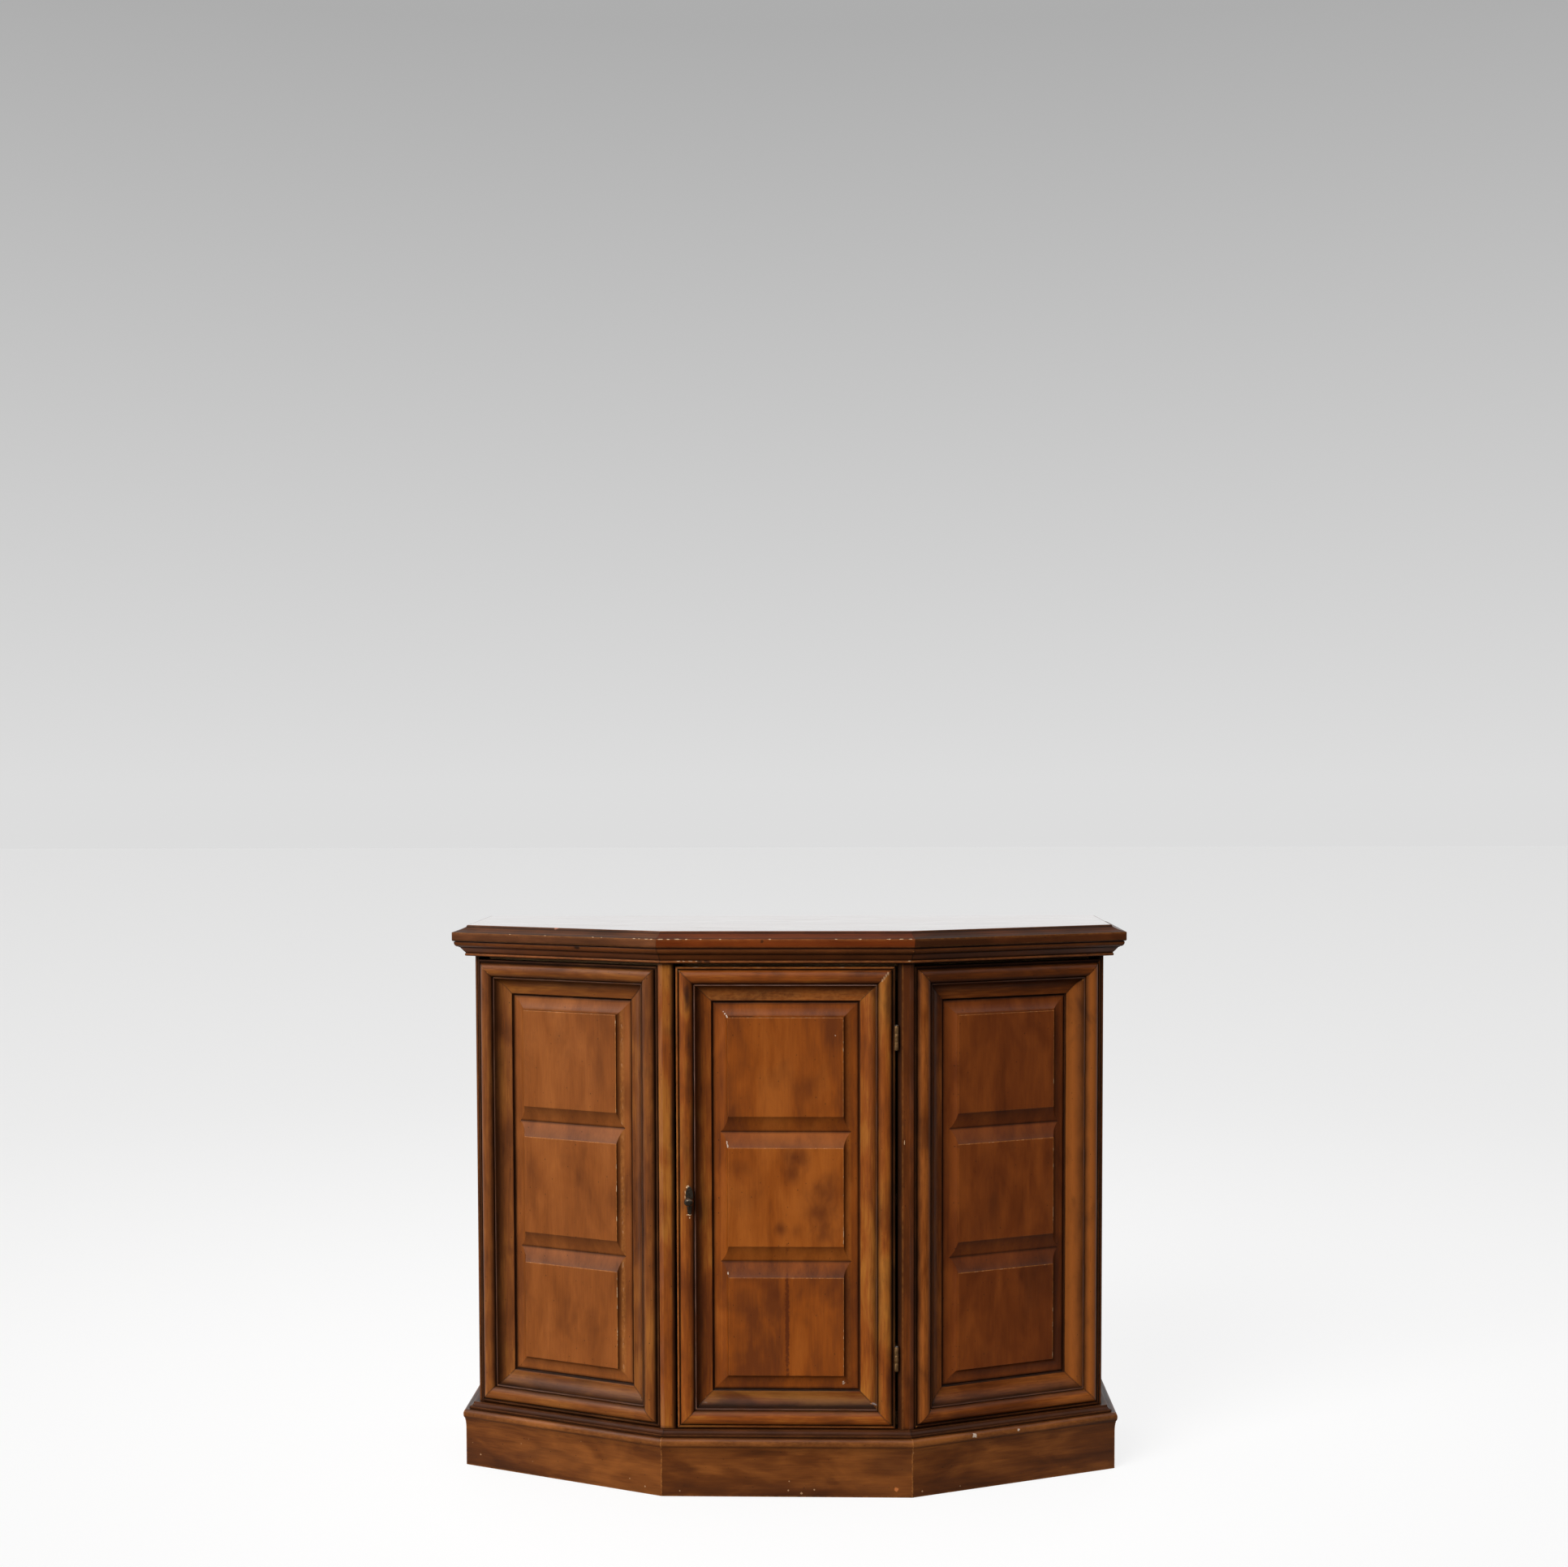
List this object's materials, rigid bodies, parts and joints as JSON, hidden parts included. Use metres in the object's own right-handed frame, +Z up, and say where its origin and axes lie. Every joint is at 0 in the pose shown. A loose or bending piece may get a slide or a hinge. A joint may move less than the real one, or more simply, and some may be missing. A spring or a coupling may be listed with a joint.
{
  "type": "console cabinet",
  "caption": "Shallow console cabinet with a flat front, canted sides, one framed door with a raised panel, matching fixed frames and a moulded top and plinth.",
  "frame": {"origin": "on the floor under the middle of the bounding box", "axes": "+X to the right as seen from the front, +Y from the front to the wall, +Z up"},
  "size_m": [0.914, 0.34, 0.746],
  "materials": {
    "brown_finish": "worn brown glaze over figured wood, satin lacquer",
    "inside_wood": "plain, lightly stained",
    "aged_brass": "aged, dull",
    "dark_bronze": "dark oxidised bronze",
    "steel": "plain",
    "brown_plastic": "matte"
  },
  "bodies": {
    "cabinet": {"top_board": "brown_finish", "cornice_front": "brown_finish", "cornice_left_canted": "brown_finish", "cornice_right_canted": "brown_finish", "cornice_left_end": "brown_finish", "cornice_right_end": "brown_finish", "base_cap_front": "brown_finish", "base_cap_left_canted": "brown_finish", "base_cap_right_canted": "brown_finish", "base_cap_left_end": "brown_finish", "base_cap_right_end": "brown_finish", "plinth_front": "brown_finish", "plinth_left_canted": "brown_finish", "plinth_right_canted": "brown_finish", "plinth_left_end": "brown_finish", "plinth_right_end": "brown_finish", "cornice_back": "inside_wood", "plinth_back": "inside_wood", "header_front": "inside_wood", "header_left_canted": "inside_wood", "header_right_canted": "inside_wood", "case_floor": "inside_wood", "shelf": "inside_wood", "back_panel": "inside_wood", "shelf_pin_left_front": "steel", "shelf_pin_left_back": "steel", "shelf_pin_right_front": "steel", "shelf_pin_right_back": "steel", "upper_hinge_pin": "steel", "lower_hinge_pin": "steel", "left_corner_post": "brown_finish", "left_end_post": "brown_finish", "left_end_panel": "brown_finish", "left_canted_inner_stile": "brown_finish", "left_canted_outer_stile": "brown_finish", "left_canted_top_rail": "brown_finish", "left_canted_bottom_rail": "brown_finish", "left_canted_raised_panel": "brown_finish", "right_corner_post": "brown_finish", "right_end_post": "brown_finish", "right_end_panel": "brown_finish", "right_canted_inner_stile": "brown_finish", "right_canted_outer_stile": "brown_finish", "right_canted_top_rail": "brown_finish", "right_canted_bottom_rail": "brown_finish", "right_canted_raised_panel": "brown_finish", "upper_hinge_post_leaf": "aged_brass", "lower_hinge_post_leaf": "aged_brass", "catch_housing": "brown_plastic"},
    "door": {"door_knob_stile": "brown_finish", "door_hinge_stile": "brown_finish", "door_top_rail": "brown_finish", "door_bottom_rail": "brown_finish", "door_raised_panel": "brown_finish", "upper_hinge_door_leaf": "aged_brass", "lower_hinge_door_leaf": "aged_brass", "knob_plate": "dark_bronze", "knob": "dark_bronze", "catch_strike": "steel"}
  },
  "joints": [
    {"name": "door_hinge", "type": "hinge", "parent": "cabinet", "child": "door", "pos_m": [0.1444, -0.1469, 0.39345], "axis": [0, 0, 1], "range_deg": [0, 165]}
  ]
}
